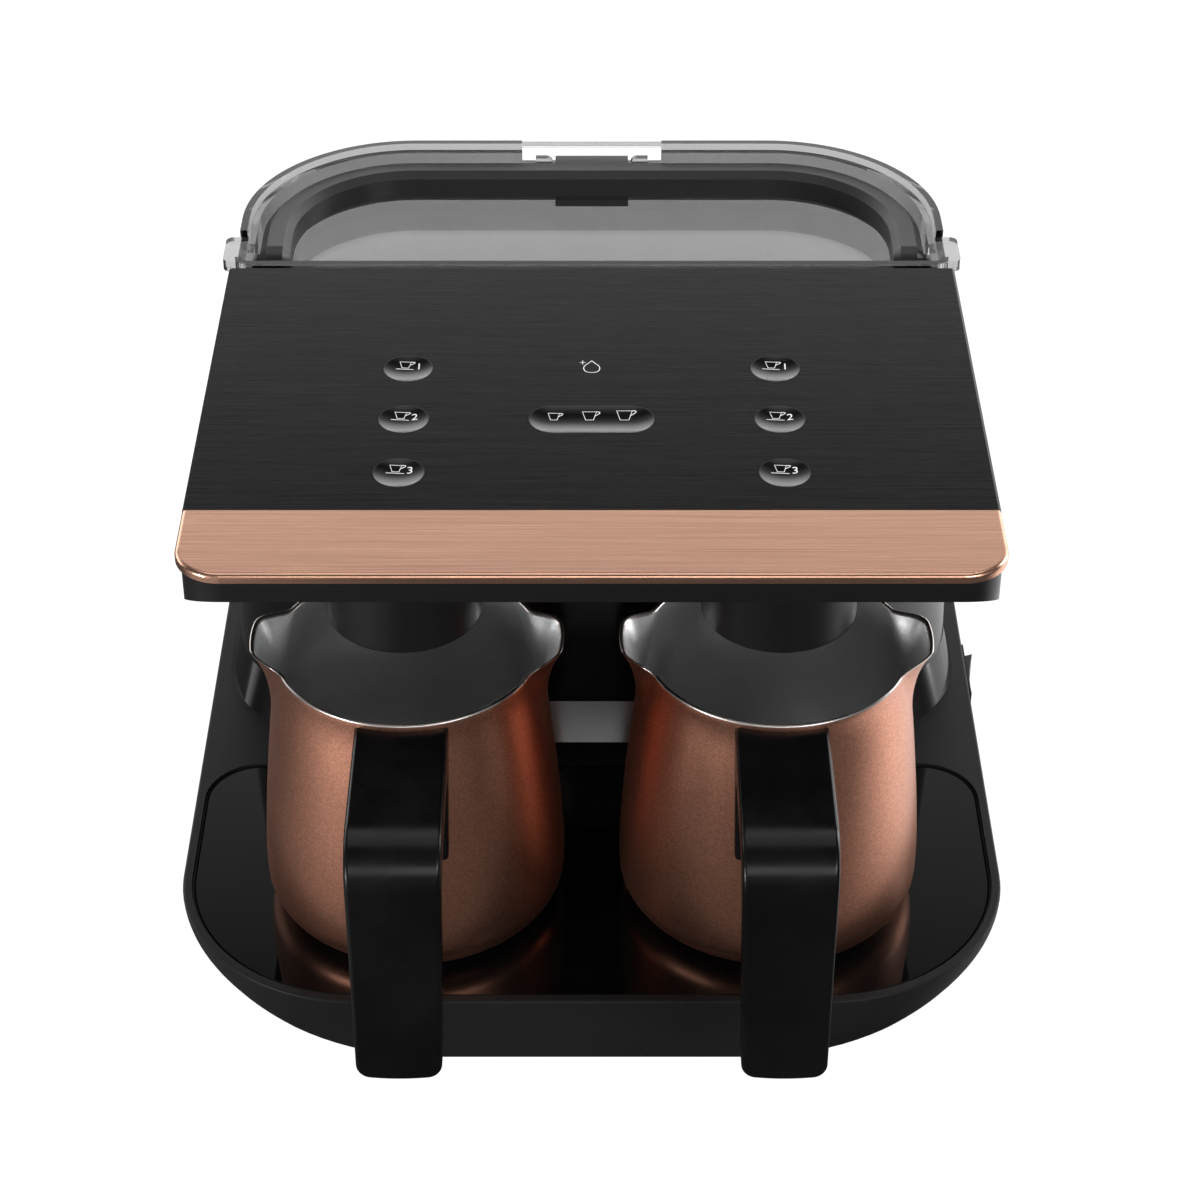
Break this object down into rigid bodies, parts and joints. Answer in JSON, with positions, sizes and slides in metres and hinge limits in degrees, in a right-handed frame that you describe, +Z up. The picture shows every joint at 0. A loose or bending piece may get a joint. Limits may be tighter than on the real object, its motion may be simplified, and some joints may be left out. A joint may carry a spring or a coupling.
{
  "type": "electric turkish coffee maker",
  "caption": "Counter-top Turkish coffee maker: two lift-out pots on a glass hob under a cantilevered head with keys and water nozzles, and a clear rear water tank with lid and carry handle.",
  "frame": {"origin": "middle of the whole footprint, pot handles included, on the surface the feet stand on", "axes": "+X to the machine's right as its user sees it, +Y to the rear, +Z up"},
  "size_m": [0.2745, 0.341, 0.1777],
  "materials": {
    "housing_black": "fine matt grain",
    "hob_glass": "polished black glass",
    "seal_rubber": "matt",
    "steel": "bright zinc",
    "inner_plastic": "plain moulding",
    "coil_copper": "enamelled winding wire",
    "probe_metal": "plain",
    "board": "solder mask",
    "hose_silicone": "translucent silicone",
    "column_gloss": "piano gloss",
    "head_black": "satin",
    "copper_trim": "brushed and anodised copper colour",
    "brushed_black": "brushed and anodised black",
    "jet_plastic": "translucent",
    "sensor_lens": "infrared window",
    "switch_black": "satin",
    "pot_copper": "satin copper lacquer, dark coating inside",
    "handle_black": "soft gloss",
    "clear_smoke": "clear smoky plastic",
    "filter_mesh": "fine mesh"
  },
  "bodies": {
    "machine": {"base_housing": "housing_black", "bottom_cover": "housing_black", "switch_bezel": "housing_black", "mains_inlet": "housing_black", "column_back": "housing_black", "head_underside": "housing_black", "glass_plate": "hob_glass", "glass_seal": "seal_rubber", "feet": "seal_rubber", "tank_seal": "seal_rubber", "key_mat": "seal_rubber", "bottom_screws": "steel", "coil_carrier_left": "inner_plastic", "coil_carrier_right": "inner_plastic", "fan_frame": "inner_plastic", "pump_left": "inner_plastic", "pump_right": "inner_plastic", "tank_socket": "inner_plastic", "induction_coil_left": "coil_copper", "induction_coil_right": "coil_copper", "pot_probes": "probe_metal", "heat_sink": "probe_metal", "power_board": "board", "control_board": "board", "feed_hoses": "hose_silicone", "hose_left": "hose_silicone", "hose_right": "hose_silicone", "column_shell": "column_gloss", "column_skirt": "column_gloss", "head_shell": "head_black", "nozzle_left": "head_black", "nozzle_right": "head_black", "copper_band": "copper_trim", "top_panel": "brushed_black", "water_jets": "jet_plastic", "foam_sensors": "sensor_lens"},
    "fan_rotor": {"fan_rotor": "inner_plastic"},
    "power_switch": {"power_switch": "switch_black"},
    "size_key": {"size_key": "brushed_black"},
    "water_tank": {"water_tank": "clear_smoke", "tank_valve": "inner_plastic", "tank_filter": "filter_mesh"},
    "tank_lid": {"tank_lid": "clear_smoke"},
    "tank_bail": {"tank_bail": "handle_black"},
    "key_left_1": {"key_left_1": "brushed_black"},
    "key_left_2": {"key_left_2": "brushed_black"},
    "key_left_3": {"key_left_3": "brushed_black"},
    "pot_left": {"pot_left": "pot_copper", "pot_handle_left": "handle_black", "handle_bracket_left": "steel", "handle_screw_left": "steel"},
    "key_right_1": {"key_right_1": "brushed_black"},
    "key_right_2": {"key_right_2": "brushed_black"},
    "key_right_3": {"key_right_3": "brushed_black"},
    "pot_right": {"pot_right": "pot_copper", "pot_handle_right": "handle_black", "handle_bracket_right": "steel", "handle_screw_right": "steel"}
  },
  "joints": [
    {"name": "pot_left_lift_out", "type": "slide", "parent": "machine", "child": "pot_left", "axis": [0, -0.9962, 0.0872], "range_m": [0, 0.17]},
    {"name": "key_left_1_press", "type": "slide", "parent": "machine", "child": "key_left_1", "axis": [0, 0, -1], "range_m": [0, 0.0006], "stiffness_N_per_m": 2000, "springref_m": -0.0003},
    {"name": "key_left_2_press", "type": "slide", "parent": "machine", "child": "key_left_2", "axis": [0, 0, -1], "range_m": [0, 0.0006], "stiffness_N_per_m": 2000, "springref_m": -0.0003},
    {"name": "key_left_3_press", "type": "slide", "parent": "machine", "child": "key_left_3", "axis": [0, 0, -1], "range_m": [0, 0.0006], "stiffness_N_per_m": 2000, "springref_m": -0.0003},
    {"name": "pot_right_lift_out", "type": "slide", "parent": "machine", "child": "pot_right", "axis": [0, -0.9962, 0.0872], "range_m": [0, 0.17]},
    {"name": "key_right_1_press", "type": "slide", "parent": "machine", "child": "key_right_1", "axis": [0, 0, -1], "range_m": [0, 0.0006], "stiffness_N_per_m": 2000, "springref_m": -0.0003},
    {"name": "key_right_2_press", "type": "slide", "parent": "machine", "child": "key_right_2", "axis": [0, 0, -1], "range_m": [0, 0.0006], "stiffness_N_per_m": 2000, "springref_m": -0.0003},
    {"name": "key_right_3_press", "type": "slide", "parent": "machine", "child": "key_right_3", "axis": [0, 0, -1], "range_m": [0, 0.0006], "stiffness_N_per_m": 2000, "springref_m": -0.0003},
    {"name": "size_key_press", "type": "slide", "parent": "machine", "child": "size_key", "axis": [0, 0, -1], "range_m": [0, 0.0006], "stiffness_N_per_m": 2000, "springref_m": -0.0003},
    {"name": "power_switch_rock", "type": "hinge", "parent": "machine", "child": "power_switch", "pos_m": [0.1325, 0.0566, 0.015], "axis": [0, 0, 1], "range_deg": [0, 12]},
    {"name": "fan_spin", "type": "hinge", "parent": "machine", "child": "fan_rotor", "pos_m": [0, 0.0456, 0.012], "axis": [0, 0, 1], "continuous": true},
    {"name": "tank_lift_off", "type": "slide", "parent": "machine", "child": "water_tank", "axis": [0, 0, 1], "range_m": [0, 0.16]},
    {"name": "lid_lift_off", "type": "slide", "parent": "water_tank", "child": "tank_lid", "axis": [0, 0, 1], "range_m": [0, 0.06]},
    {"name": "bail_pivot", "type": "hinge", "parent": "tank_lid", "child": "tank_bail", "pos_m": [0, 0.0996, 0.1673], "axis": [1, 0, 0], "range_deg": [0, 90]}
  ]
}
